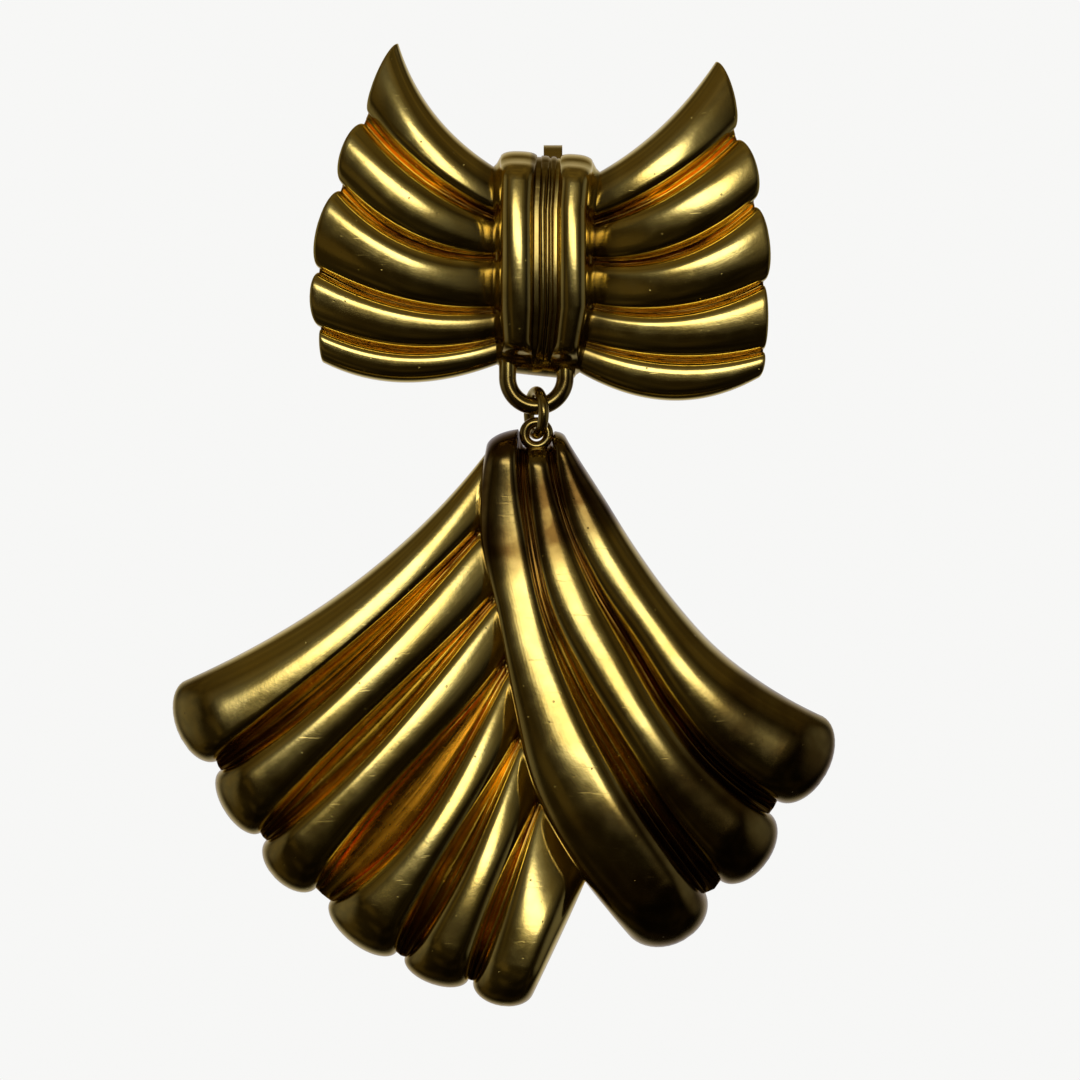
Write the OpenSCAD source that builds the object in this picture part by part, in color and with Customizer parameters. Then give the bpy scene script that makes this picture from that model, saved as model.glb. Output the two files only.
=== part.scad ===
// Clip brooch: a pleated bow with a spring clip behind it, and a pleated fan drop on a jump ring.
// It hangs upright and faces -Y, with +Z up. The origin is where the clip grips the cloth,
// behind the middle of the knot. Heights are measured forward from the flat backs of the castings.

/* [Castings] */
// Metal left under the grooves, over the hollow back
wall = 0.5; // [0.4:0.1:1.3]
// Deepest point of the hollow back
hollow = 0.7; // [0:0.1:1]
// Width of the flat rim round the hollow back
rim_w = 1.2; // [0.8:0.1:2]
// Height of the upright lip at the outline
lip_h = 0.3; // [0.2:0.05:0.5]
// Length of the rounded end of an under fan's rib
rib_end = 2.2; // [1.5:0.1:3]

/* [Knot] */
// Height of the strap that the knot is made of
strap_h = 3.7; // [3:0.1:4.2]
// Slope of the strap's sides, in plan
strap_side = 0.25; // [0.1:0.05:0.4]
// Rise of the knot over the wings at its top edge
knot_crown = 1.15; // [0.5:0.05:1.5]
// Drop of the knot below the wings at its bottom edge
knot_foot = 0.55; // [0:0.05:0.6]

/* [Hanging] */
// Height of the hanger and the eyelet above the backs
ring_h = 1.3; // [1.2:0.05:1.5]
// Place of the hanger, the jump ring and the eyelet from side to side
ring_x = -0.65; // [-0.8:0.05:-0.5]
// Middle of the hanger below the grip
hanger_drop = 8.1; // [8:0.05:8.3]
// Wire of the hanger
hanger_wire = 1.3; // [1:0.05:1.3]
// Radius of the hanger at the middle of its wire
hanger_r = 2.15; // [1.9:0.05:2.2]
// Wire of the jump ring
link_wire = 0.8; // [0.6:0.05:0.8]
// Radius of the jump ring at the middle of its wire
link_r = 1.6; // [1.6:0.05:1.7]
// Turn of the jump ring from fore and aft
link_turn = 20; // [0:1:25]
// Wire of the eyelet
eyelet_wire = 0.76; // [0.6:0.02:0.78]
// Radius of the eyelet at the middle of its wire
eyelet_r = 0.9; // [0.88:0.02:0.94]
// Running clearance of the jump ring on the hanger
play = 0.07; // [0.05:0.01:0.1]

/* [Clip] */
// Thickness of the clip's strip
strip = 0.8; // [0.6:0.05:0.9]
// Width of the clip's leg and tongue
clip_w = 4.6; // [3.5:0.1:5]
// Width of the clip's bend, which shows above the knot
bend_w = 1.4; // [1.2:0.1:2]
// Place of the clip from side to side
clip_x = 0.6; // [0.3:0.1:0.8]
// Highest point of the bend above the grip
bend_top = 9.45; // [9:0.05:9.8]
// Outer radius of the bend
bend_r = 1.75; // [1.6:0.05:2]
// Length of the narrow strip on either side of the bend
bend_leg = 1.2; // [0.8:0.1:2]
// Lowest point of the leg below the grip
leg_low = 5.5; // [4:0.1:6]
// Length of the tongue's flared tip
tip_len = 3.6; // [2.5:0.1:4.5]
// Angle of the tongue's flared tip
tip_flare = 20; // [10:1:30]
// Gap that the clip grips with, when empty
grip_gap = 0.4; // [0.3:0.05:0.5]

/* [Hidden] */
$fn = 64;

GOLD = [0.83, 0.62, 0.2];
PALE_GOLD = [0.85, 0.7, 0.36];

// A rib's arch is a half ellipse raised to this power, which makes it a little squarer
ARCH_POWER = 0.8;
// Segments across one rib's arch, for the bow, the under fan and the over fan
BOW_STEPS = 6;
UNDER_STEPS = 6;
OVER_STEPS = 8;
// Segments along a wing, along an under rib before its rounded end, and round that end
WING_SPANS = 10;
UNDER_SPANS = 8;
END_SPANS = 4;
// Segments along the over fan above the under fan, and between the crossing and the rib ends
NECK_SPANS = 2;
TAIL_SPANS = 2;

// Places of the castings' backs, of the rings and of the clip's parts
back_y = -grip_gap / 2 - strip;
ring_y = back_y - ring_h;
hanger_z = -hanger_drop;
link_z = hanger_z - hanger_r + hanger_wire / 2 + play - link_r + link_wire / 2;
eyelet_z = link_z - link_r;
leg_top = bend_top - bend_r;
bend_y = back_y + bend_r;

// A wing's creases, from its upper edge to its lower edge. Each has three points: beside the knot,
// halfway and at the wing's end. A point is [x, z, height]. The share is the part of the rib on
// either side that the groove takes.
// [share, beside the knot, halfway, at the end]
LEFT_CREASES = [
    [0.00, [-3.85, 7.75, lip_h], [-8.3, 11.75, lip_h], [-11.0, 16.95, lip_h]],
    [0.08, [-3.9, 4.0, 1.4], [-9.15, 7.05, 1.9], [-13.4, 11.3, 1.3]],
    [0.05, [-3.9, 0.9, 1.3], [-10.2, 2.2, 1.9], [-15.2, 6.15, 1.8]],
    [0.03, [-3.9, -3.1, 1.3], [-10.5, -2.65, 1.6], [-16.9, -0.1, 1.6]],
    [0.03, [-3.7, -5.3, 1.1], [-10.45, -6.05, 1.0], [-16.8, -4.4, 1.0]],
    [0.00, [-3.6, -7.1, lip_h], [-10.5, -8.45, lip_h], [-16.6, -6.95, lip_h]]];

RIGHT_CREASES = [
    [0.00, [4.1, 7.35, lip_h], [8.8, 10.85, lip_h], [12.8, 15.6, lip_h]],
    [0.08, [3.7, 3.6, 1.4], [9.35, 6.15, 1.9], [14.25, 10.1, 1.3]],
    [0.05, [3.7, 0.6, 1.3], [10.1, 1.35, 1.9], [15.65, 4.95, 1.8]],
    [0.03, [3.7, -2.85, 1.3], [10.2, -3.1, 1.6], [16.35, -1.05, 1.6]],
    [0.03, [3.1, -5.6, 1.1], [9.95, -6.8, 1.0], [16.35, -6.1, 1.0]],
    [0.00, [2.6, -7.7, lip_h], [9.45, -9.8, lip_h], [15.95, -8.1, lip_h]]];

// The wings' ribs: where the crest lies across the rib, its height beside the knot, halfway and at
// the end, and how far the rib's end bulges past the line between its creases.
// [crest place, height at the knot, halfway, at the end, bulge left, bulge right]
WING_RIBS = [
    [0.70, 2.5, 3.0, 1.7, 0.60, 0.70],
    [0.50, 1.9, 3.3, 2.8, 0.95, 0.90],
    [0.36, 2.0, 3.4, 2.9, 1.00, 0.80],
    [0.32, 2.0, 2.7, 2.4, 0.75, 0.35],
    [0.36, 1.5, 1.9, 1.7, 0.20, 0.30]];

// The bars and ridges that run down the knot, by their share of the strap's width.
// [middle, half width, crest height, segments]
KNOT_BARS = [
    [0.220, 0.185, 5.0, 6],
    [0.490, 0.045, 4.2, 4],
    [0.575, 0.030, 4.1, 4],
    [0.800, 0.165, 5.0, 6]];
// Lower height of the strap's two edges
EDGE_FALL = 0.3;
// Fall of the arched knot from its middle to its top and bottom
KNOT_ARCH = 1.2;
// Shares of the knot's height where its bars begin and end, and over which their ends are round
BAR_TOP = 0.045;
BAR_TOP_ROUND = 0.08;
BAR_FOOT = 0.915;
BAR_FOOT_ROUND = 0.05;
// Shares of the knot's height over which its top and its bottom roll back
CROWN_ROLL = 0.11;
FOOT_ROLL = 0.15;
// Shares of the crown's rise and the foot's drop that are there at the strap's corners
CROWN_CORNER = 0.45;
FOOT_CORNER = 0.3;
// Length of the hanger's legs, sunk into the knot
HANGER_LEG = 1.7;
// Sides of the stretch behind the knot that stays solid and flat, for the clip's leg
BOW_PAD = [-2.6, 3.4];
// A casting without such a stretch has it nowhere near
NO_PAD = [99, 99];

// The under fan's creases, from its upper edge to its inner edge: where each comes out from under
// the over fan, as a share of that fan's left edge, with its height there, then two points.
// [share, place on the edge, height there, halfway, at the rim]
UNDER_CREASES = [
    [0.00, 0.012, lip_h, [-14.2, -23.35, lip_h], [-26.9, -30.75, lip_h]],
    [0.16, 0.163, 1.3, [-14.4, -29.0, 2.0], [-24.5, -37.2, 1.3]],
    [0.16, 0.295, 1.4, [-12.0, -33.5, 2.2], [-21.15, -42.5, 1.4]],
    [0.30, 0.425, 1.4, [-8.9, -38.3, 2.2], [-16.7, -46.8, 1.4]],
    [0.16, 0.570, 1.4, [-6.0, -43.0, 2.1], [-10.8, -51.4, 1.4]],
    [0.10, 0.700, 1.3, [-3.1, -46.4, 2.0], [-5.55, -53.25, 1.3]],
    [0.00, 0.880, lip_h, [1.15, -50.0, lip_h], [-0.85, -54.1, lip_h]]];

// [crest place, height at the crossing, halfway, at the rim, bulge]
UNDER_RIBS = [
    [0.72, 2.0, 3.5, 3.4, 1.95],
    [0.44, 2.2, 3.7, 3.6, 1.40],
    [0.34, 2.2, 3.6, 3.5, 1.60],
    [0.57, 2.2, 3.7, 3.6, 1.50],
    [0.52, 2.2, 3.6, 3.4, 1.25],
    [0.66, 2.0, 3.3, 3.1, 1.50]];

// The over fan's creases, from its left edge to its right edge, with seven points evenly spaced
// from the eyelet down to the rim. A point is [x, z, height]. The heights on the left edge are
// those of the top of the wall there, which stands on the under fan.
// [share, points]
OVER_CREASES = [
    [0.00, [[-4.4, -13.35, 1.6], [-4.9, -19.75, 2.4], [-3.5, -26.05, 3.4], [-2.4, -32.4, 3.8],
            [-0.95, -38.7, 3.9], [2.0, -44.4, 3.3], [6.0, -49.4, 1.2]]],
    [0.10, [[-1.8, -13.3, 1.9], [-1.15, -19.3, 2.8], [0.05, -25.3, 3.4], [2.45, -30.85, 3.5],
            [5.5, -36.1, 3.3], [8.75, -41.2, 2.7], [12.7, -46.4, 1.4]]],
    [0.07, [[0.4, -13.2, 1.9], [1.5, -18.55, 2.7], [3.65, -23.5, 3.2], [6.45, -28.1, 3.2],
            [9.3, -32.8, 3.1], [12.7, -37.0, 2.6], [17.15, -40.3, 1.4]]],
    [0.00, [[1.6, -12.75, lip_h], [4.25, -16.8, lip_h], [6.8, -20.85, lip_h], [9.6, -24.7, lip_h],
            [12.8, -28.25, lip_h], [16.6, -31.15, lip_h], [20.8, -33.45, lip_h]]]];

// [crest place, heights at the same seven places, bulge]
OVER_RIBS = [
    [0.62, [3.4, 3.4, 3.9, 4.8, 5.5, 5.4, 4.1], 2.60],
    [0.47, [3.2, 3.3, 4.0, 4.8, 5.3, 4.9, 3.7], 2.00],
    [0.40, [3.2, 3.1, 3.7, 4.3, 4.6, 4.3, 3.4], 2.30]];
// Share of an under crease's full width that is left at its two ends
CREASE_TAPER = 0.35;
// The lean of the wall at the over fan's left edge: where its top lies across the first rib
WALL_LEAN = 0.975;
// Share of the over fan's length that its top rolls over, and where its rounded rib ends begin
NECK_ROLL = 0.045;
OVER_END = 0.93;
// The over fan's top: its rise above the line between its corners, the share of the fan's length
// in which that rise fades out, and the dip that leaves room for the jump ring
SHOULDER = 1.4;
SHOULDER_FADE = 0.12;
DIP_LEVEL = 0.05;
DIP_FLAT = 0.7;
DIP_SIDE = 0.5;
// Stretch before a rounded rib end, in lengths of that end, in which its bulge grows
BULGE_REACH = 2.2;
// Length of the clip's tongue that is sunk into its bend
TONGUE_LAP = 0.2;

function mix(a, b, t) = a + (b - a) * t;
function clamp(t) = min(1, max(0, t));
function ease(t) = let (c = clamp(t)) c * c * (3 - 2 * c);
// A quarter circle's rise, from 0 at t = 0 to 1 at t = 1
function quarter(t) = let (c = clamp(t)) sqrt(c * (2 - c));
function flat(p) = [p[0], p[1]];

// A smooth curve through evenly spaced points, for t from 0 to 1
function curve(p, t) =
    let (n = len(p) - 1,
         s = min(floor(t * n), n - 1),
         f = t * n - s,
         b = p[s],
         c = p[s + 1],
         a = s > 0 ? p[s - 1] : 3 * p[0] - 3 * p[1] + p[2],
         d = s < n - 1 ? p[s + 2] : 3 * p[n] - 3 * p[n - 1] + p[n - 2])
    b + f / 2 * (c - a + f * (2 * a - 5 * b + 4 * c - d + f * (3 * (b - c) + d - a)));

// Place across a rib's slightly squared arch, from -1 to 1, and the rise there, from 0 to 1
function arch_place(angle) = sign(angle) * pow(abs(sin(angle)), ARCH_POWER);
function arch_rise(angle) = pow(cos(angle), ARCH_POWER);
// Share of a rounded rib end's bulge at t across the rib, for its half-round outline
function end_share(t, share_a, share_b) =
    sqrt(max(0, 1 - pow(2 * (t - share_a) / (1 - share_a - share_b) - 1, 2)));

// The rows across a pleated sheet: [rib, angle round its arch, lean of the arch's first side]
function arch_rows(ribs, steps) =
    [for (k = [0 : ribs - 1]) for (i = [0 : steps]) [k, -90 + 180 * i / steps, 1]];

// The rows across the over fan, whose first row is the foot of its left wall
function over_fan_rows() =
    concat(
        [[0, -90, 1]],
        [for (row = arch_rows(len(OVER_RIBS), OVER_STEPS))
            [row[0], row[1], row[0] == 0 ? WALL_LEAN : 1]]);

// How far across its rib a row lies, from 0 at the first crease to 1 at the next
function across(row, crest, share_a, share_b) =
    crest + (row[1] < 0 ? (crest - share_a) * row[2] : 1 - share_b - crest) * arch_place(row[1]);

// Width of an under crease as a share of its full width, which it has halfway
function taper(v) = mix(CREASE_TAPER, 1, 4 * v * (1 - v));

// Height of a row, between the crease on its side and the crest
function arch_height(row, crease_a, crease_b, crest) =
    mix(row[1] < 0 ? crease_a : crease_b, crest, arch_rise(row[1]));

// Unit vector square to the way from a to b: on its left in the front view, or for side -1 its right
function square_to(a, b, side) =
    let (d = flat(b - a) / norm(flat(b - a)))
    side * [-d[1], d[0]];

// The solid between a front sheet and a back sheet of the same layout, closed along its outline
module casting(front, back, quads, loop) {
    n = len(front);
    m = len(loop);
    polyhedron(
        points = [for (p = concat(front, back)) [p[0], back_y - p[2], p[1]]],
        faces = concat(
            [for (q = quads) [q[0], q[1], q[2]]],
            [for (q = quads) [q[0], q[2], q[3]]],
            [for (q = quads) [n + q[2], n + q[1], n + q[0]]],
            [for (q = quads) [n + q[3], n + q[2], n + q[0]]],
            [for (i = [0 : m - 1]) [loop[i], n + loop[i], n + loop[(i + 1) % m]]],
            [for (i = [0 : m - 1]) [loop[i], n + loop[(i + 1) % m], loop[(i + 1) % m]]]));
}

// The back of a casting: flat at its rim and over the pad, hollow elsewhere, and never closer to
// the front than the wall
function hollowed(front, loop, pad) =
    let (outline = [for (i = loop) flat(front[i])])
    [for (p = front)
        let (rim = min([for (q = outline) norm(q - flat(p))]),
             near = min(rim, max(pad[0] - p[0], p[0] - pad[1])))
        [p[0], p[1], max(0, min(hollow, p[2] - wall)) * ease((near - rim_w) / rim_w)]];

// One point of a wing: v runs from 0 at the knot to 1 at the wing's end
function wing_point(creases, side, row, v) =
    let (rib = WING_RIBS[row[0]],
         a = creases[row[0]],
         b = creases[row[0] + 1],
         pa = curve([a[1], a[2], a[3]], v),
         pb = curve([b[1], b[2], b[3]], v),
         crest = curve([rib[1], rib[2], rib[3]], v),
         t = across(row, rib[0], a[0], b[0]),
         bulge = rib[side < 0 ? 4 : 5] * end_share(t, a[0], b[0]) * pow(v, 3),
         p = mix(flat(pa), flat(pb), t) + bulge * square_to(a[3], b[3], side))
    [p[0], p[1], arch_height(row, pa[2], pb[2], crest)];

// The columns across the knot's strap: [share of the strap's width, height, rise of the bar]
knot_columns = concat(
    [[0, strap_h - EDGE_FALL, 0]],
    [for (bar = KNOT_BARS) for (i = [0 : bar[3]])
        let (a = -90 + 180 * i / bar[3])
        [bar[0] + bar[1] * arch_place(a), strap_h, (bar[2] - strap_h) * arch_rise(a)]],
    [[1, strap_h - EDGE_FALL, 0]]);

// One point of the knot, on a row from the left wing's root to the right wing's root. A span is
// the highest and the lowest place of a wing's root.
function knot_point(column, left, right, left_span, right_span) =
    let (s = column[0],
         q = mix((left_span[0] - left[1]) / (left_span[0] - left_span[1]),
                 (right_span[0] - right[1]) / (right_span[0] - right_span[1]), s),
         arc = pow(1 - pow(abs(2 * s - 1), 4), 1 / 4),
         top = mix(left_span[0], right_span[0], s) + knot_crown * mix(CROWN_CORNER, 1, arc),
         low = mix(left_span[1], right_span[1], s) - knot_foot * mix(FOOT_CORNER, 1, arc),
         roll = quarter(q / CROWN_ROLL) * quarter((1 - q) / FOOT_ROLL),
         bar = quarter((q - BAR_TOP) / BAR_TOP_ROUND) * quarter((BAR_FOOT - q) / BAR_FOOT_ROUND),
         h = column[1] + column[2] * bar - KNOT_ARCH * pow(2 * q - 1, 2))
    [mix(left[0] + strap_side, right[0] - strap_side, s), mix(top, low, q), mix(lip_h, h, roll)];

module bow_casting() {
    rows = arch_rows(len(WING_RIBS), BOW_STEPS);
    last = len(rows) - 1;
    left = [for (row = rows) [for (j = [WING_SPANS : -1 : 0])
        wing_point(LEFT_CREASES, -1, row, j / WING_SPANS)]];
    right = [for (row = rows) [for (j = [0 : WING_SPANS])
        wing_point(RIGHT_CREASES, 1, row, j / WING_SPANS)]];
    left_span = [left[0][WING_SPANS][1], left[last][WING_SPANS][1]];
    right_span = [right[0][0][1], right[last][0][1]];
    knot = [for (i = [0 : last]) [for (column = knot_columns)
        knot_point(column, left[i][WING_SPANS], right[i][0], left_span, right_span)]];
    wide = len(left[0]) + len(knot[0]) + len(right[0]);
    front = [for (i = [0 : last]) for (p = concat(left[i], knot[i], right[i])) p];
    loop = concat(
        [for (j = [0 : wide - 1]) j],
        [for (i = [1 : last]) i * wide + wide - 1],
        [for (j = [wide - 2 : -1 : 0]) last * wide + j],
        [for (i = [last - 1 : -1 : 1]) i * wide]);
    quads = [for (i = [0 : last - 1]) for (j = [0 : wide - 2])
        [i * wide + j, i * wide + j + 1, (i + 1) * wide + j + 1, (i + 1) * wide + j]];
    casting(front, hollowed(front, loop, BOW_PAD), quads, loop);
}

// The half-ring under the knot that the jump ring hangs in, with its legs sunk into the knot
module hanger() {
    translate([ring_x, ring_y, hanger_z]) {
        rotate([90, 0, 0])
            rotate_extrude(angle = 180, start = 180)
                translate([hanger_r, 0])
                    circle(d = hanger_wire);
        for (side = [-1, 1])
            translate([side * hanger_r, 0, 0])
                cylinder(d = hanger_wire, h = HANGER_LEG);
    }
}

// How far down the over fan's left edge a row of the under fan comes out
function crossing_place(row) =
    let (a = UNDER_CREASES[row[0]], b = UNDER_CREASES[row[0] + 1])
    mix(a[1], b[1], across(row, UNDER_RIBS[row[0]][0], a[0] * taper(0), b[0] * taper(0)));

// One point of the under fan: j counts spans from 0 at the over fan's edge out to the rim
function under_point(row, j) =
    let (rib = UNDER_RIBS[row[0]],
         a = UNDER_CREASES[row[0]],
         b = UNDER_CREASES[row[0] + 1],
         edge = OVER_CREASES[0][1],
         root_a = flat(curve(edge, a[1])),
         root_b = flat(curve(edge, b[1])),
         length = mix(norm(flat(a[4]) - root_a), norm(flat(b[4]) - root_b), across(row, rib[0], a[0], b[0])),
         end = 1 - rib_end / length,
         turn = 90 * max(0, j - UNDER_SPANS) / END_SPANS,
         v = j < UNDER_SPANS ? end * j / UNDER_SPANS : mix(end, 1, sin(turn)),
         share_a = a[0] * taper(v),
         share_b = b[0] * taper(v),
         t = across(row, rib[0], share_a, share_b),
         pa = curve([[root_a[0], root_a[1], a[2]], a[3], a[4]], v),
         pb = curve([[root_b[0], root_b[1], b[2]], b[3], b[4]], v),
         crest = curve([rib[1], rib[2], rib[3]], v),
         bulge = rib[4] * end_share(t, share_a, share_b)
             * pow(clamp(1 - (1 - v) / (1 - end) / BULGE_REACH), 2),
         // The creases' roots lie on a curved edge, so the points between them are drawn to it
         draw = (flat(curve(edge, crossing_place(row))) - mix(root_a, root_b, t)) * pow(1 - v, 2),
         p = mix(flat(pa), flat(pb), t) + draw + bulge * square_to(a[4], b[4], -1))
    [p[0], p[1], mix(lip_h, arch_height(row, pa[2], pb[2], crest), cos(turn))];

// Rise of the over fan's top edge at x, with the dip that the jump ring swings in
function shoulder(x) =
    let (x0 = OVER_CREASES[0][1][0][0],
         x1 = OVER_CREASES[3][1][0][0],
         s = clamp((x - x0) / (x1 - x0)) * 2 - 1,
         dip = 1 - ease((abs(x - ring_x) - DIP_FLAT) / DIP_SIDE))
    mix(SHOULDER * sqrt(1 - s * s), DIP_LEVEL, dip);

// One point of the over fan, on row i: v runs from 0 at the eyelet to 1 at the rim, turn is the
// angle round a rib's rounded end, and foot is the height that the wall on the left stands on
function over_point(i, row, v, turn, foot) =
    let (rib = OVER_RIBS[row[0]],
         a = OVER_CREASES[row[0]],
         b = OVER_CREASES[row[0] + 1],
         t = across(row, rib[0], a[0], b[0]),
         pa = curve(a[1], v),
         pb = curve(b[1], v),
         bulge = rib[2] * end_share(t, a[0], b[0])
             * pow(clamp(1 - (1 - v) / (1 - OVER_END) / BULGE_REACH), 2),
         rise = shoulder(mix(a[1][0][0], b[1][0][0], t)) * pow(clamp(1 - v / SHOULDER_FADE), 2),
         p = mix(flat(pa), flat(pb), t) + bulge * square_to(a[1][6], b[1][6], -1) + [0, rise],
         h = i == 0 ? foot : arch_height(row, pa[2], pb[2], curve(rib[1], v)))
    [p[0], p[1], mix(lip_h, h, cos(turn) * quarter(v / NECK_ROLL))];

module drop_casting() {
    under_rows = arch_rows(len(UNDER_RIBS), UNDER_STEPS);
    under_last = len(under_rows) - 1;
    under_cols = UNDER_SPANS + END_SPANS;
    over_rows = over_fan_rows();
    over_last = len(over_rows) - 1;
    under = [for (row = under_rows) [for (j = [0 : under_cols]) under_point(row, j)]];
    crossing = [for (row = under_rows) crossing_place(row)];
    // The over fan's places from the eyelet down: [v, turn, foot]
    places = concat(
        [for (i = [0 : NECK_SPANS - 1]) [crossing[0] * (1 - cos(90 * i / NECK_SPANS)), 0, lip_h]],
        [for (i = [0 : under_last]) [crossing[i], 0, under[i][0][2]]],
        [for (i = [1 : TAIL_SPANS]) [mix(crossing[under_last], OVER_END, i / TAIL_SPANS), 0, lip_h]],
        [for (i = [1 : END_SPANS])
            let (turn = 90 * i / END_SPANS)
            [mix(OVER_END, 1, sin(turn)), turn, lip_h]]);
    down = len(places);
    over = [for (i = [0 : over_last]) for (r = places) over_point(i, over_rows[i], r[0], r[1], r[2])];
    first = len(over);
    front = concat(over, [for (i = [0 : under_last]) for (j = [1 : under_cols]) under[i][j]]);
    // Where a point of the over fan and a point of the under fan stand in that list
    function over_at(i, j) = i * down + j;
    function under_at(i, j) = j == 0 ? over_at(0, NECK_SPANS + i) : first + i * under_cols + j - 1;
    quads = concat(
        [for (i = [0 : over_last - 1]) for (j = [0 : down - 2])
            [over_at(i, j), over_at(i + 1, j), over_at(i + 1, j + 1), over_at(i, j + 1)]],
        [for (i = [0 : under_last - 1]) for (j = [0 : under_cols - 1])
            [under_at(i, j + 1), under_at(i, j), under_at(i + 1, j), under_at(i + 1, j + 1)]]);
    loop = concat(
        [for (i = [0 : over_last]) over_at(i, 0)],
        [for (j = [1 : down - 1]) over_at(over_last, j)],
        [for (i = [over_last - 1 : -1 : 0]) over_at(i, down - 1)],
        [for (j = [down - 2 : -1 : NECK_SPANS + under_last]) over_at(0, j)],
        [for (j = [1 : under_cols]) under_at(under_last, j)],
        [for (i = [under_last - 1 : -1 : 0]) under_at(i, under_cols)],
        [for (j = [under_cols - 1 : -1 : 0]) under_at(0, j)],
        [for (j = [NECK_SPANS - 1 : -1 : 1]) over_at(0, j)]);
    casting(front, hollowed(front, loop, NO_PAD), quads, loop);
}

// The loop at the drop's top that hangs on the jump ring
module eyelet() {
    translate([ring_x, ring_y, eyelet_z])
        rotate([90, 0, 0])
            rotate_extrude()
                translate([eyelet_r, 0])
                    circle(d = eyelet_wire);
}

module bow() {
    color(GOLD) {
        bow_casting();
        hanger();
    }
}

module drop() {
    color(GOLD) {
        drop_casting();
        eyelet();
    }
}

// The jump ring, standing almost fore and aft through the hanger and the eyelet
module link() {
    color(GOLD)
        translate([ring_x, ring_y, link_z])
            rotate([0, 90, link_turn])
                rotate_extrude()
                    translate([link_r, 0])
                        circle(d = link_wire);
}

// A flat strip that hangs down from the origin and is strip thick towards +Y, with a round end
module strip_down(width, length, round_end) {
    rotate([90, 0, 180])
        linear_extrude(strip) {
            translate([-width / 2, round_end ? width / 2 - length : -length])
                square([width, round_end ? length - width / 2 : length]);
            if (round_end)
                translate([0, width / 2 - length])
                    circle(d = width);
        }
}

// The spring clip: a leg on the back of the knot, a narrow bend over its top, and a tongue that
// comes down behind, touches the cloth level with the origin and flares away at its tip
module clip() {
    inner = bend_r - strip;
    reach = norm([bend_y - grip_gap / 2, leg_top]);
    // The bend runs on past half a turn by this much, so that the tongue leaves it smoothly
    lean = atan((bend_y - grip_gap / 2) / leg_top) + asin(inner / reach);
    color(PALE_GOLD) {
        translate([clip_x, back_y, leg_top])
            strip_down(bend_w, bend_leg, false);
        translate([clip_x, back_y, leg_top - bend_leg])
            strip_down(clip_w, leg_low + leg_top - bend_leg, true);
        translate([clip_x, bend_y, leg_top]) {
            rotate([0, 90, 0])
                rotate_extrude(angle = 180 + lean, start = 90 - lean)
                    translate([inner, -bend_w / 2])
                        square([strip, bend_w]);
            rotate([-lean, 0, 0])
                translate([0, inner, 0]) {
                    translate([0, 0, TONGUE_LAP])
                        strip_down(bend_w, TONGUE_LAP + bend_leg, false);
                    translate([0, 0, -bend_leg])
                        strip_down(clip_w, sqrt(pow(reach, 2) - pow(inner, 2)) - bend_leg, false);
                }
        }
        translate([clip_x, grip_gap / 2, 0])
            rotate([tip_flare, 0, 0])
                strip_down(clip_w, tip_len, true);
    }
}

bow();
clip();
link();
drop();
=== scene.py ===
import math
from typing import NamedTuple

import bmesh
import bpy
import numpy as np
from bpy.props import FloatProperty, FloatVectorProperty, PointerProperty
from bpy.types import Operator, Panel, PropertyGroup
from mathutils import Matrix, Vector


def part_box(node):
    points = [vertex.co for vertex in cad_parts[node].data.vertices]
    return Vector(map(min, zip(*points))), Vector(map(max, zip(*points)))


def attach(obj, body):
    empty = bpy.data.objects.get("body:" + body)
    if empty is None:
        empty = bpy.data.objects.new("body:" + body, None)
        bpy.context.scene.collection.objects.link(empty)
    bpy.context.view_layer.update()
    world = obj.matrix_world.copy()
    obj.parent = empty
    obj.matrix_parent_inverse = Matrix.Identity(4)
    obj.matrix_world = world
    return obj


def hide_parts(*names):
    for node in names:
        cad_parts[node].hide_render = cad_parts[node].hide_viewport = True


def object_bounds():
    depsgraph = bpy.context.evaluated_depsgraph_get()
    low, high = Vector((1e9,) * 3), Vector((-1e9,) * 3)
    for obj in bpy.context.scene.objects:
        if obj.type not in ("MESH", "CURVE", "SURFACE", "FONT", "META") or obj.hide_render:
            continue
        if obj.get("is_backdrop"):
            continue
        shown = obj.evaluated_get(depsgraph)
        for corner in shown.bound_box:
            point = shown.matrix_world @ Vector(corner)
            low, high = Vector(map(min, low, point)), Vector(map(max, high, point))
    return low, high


bl_info = {
    "name": "Pleated Bow Brooch",
    "version": (1, 0, 0),
    "blender": (4, 5, 0),
    "location": "View3D > Sidebar > Brooch",
    "description": "Builds a gold-tone clip brooch: a pleated bow and a crossed fan drop on a jump ring",
    "category": "Object",
}

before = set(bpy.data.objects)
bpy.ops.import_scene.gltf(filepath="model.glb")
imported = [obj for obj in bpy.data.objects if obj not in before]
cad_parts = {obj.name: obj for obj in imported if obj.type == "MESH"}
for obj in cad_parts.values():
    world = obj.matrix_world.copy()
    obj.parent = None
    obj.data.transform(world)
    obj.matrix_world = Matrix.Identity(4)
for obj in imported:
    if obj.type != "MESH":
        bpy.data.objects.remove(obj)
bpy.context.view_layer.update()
MM = 0.001

# Where nothing else is said, lengths and heights are in millimetres and angles in degrees.
# The castings' flat backs
BACK_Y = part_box("bow")[1].y / MM
# Height of the upright lip at a casting's outline, least metal over its hollow back, depth of that
# hollow, and width of the flat rim round it and of the slope inside the rim
LIP = 0.3
WALL = 0.2
HOLLOW = 0.6
RIM = 1.2
# The rim is measured from one in so many points of the outline, for the castings' points in batches
OUTLINE_STRIDE = 3
RIM_BATCHES = 40
# The depth in the groove that marks a point of the back
BACK_MARK = -1.0

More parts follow.
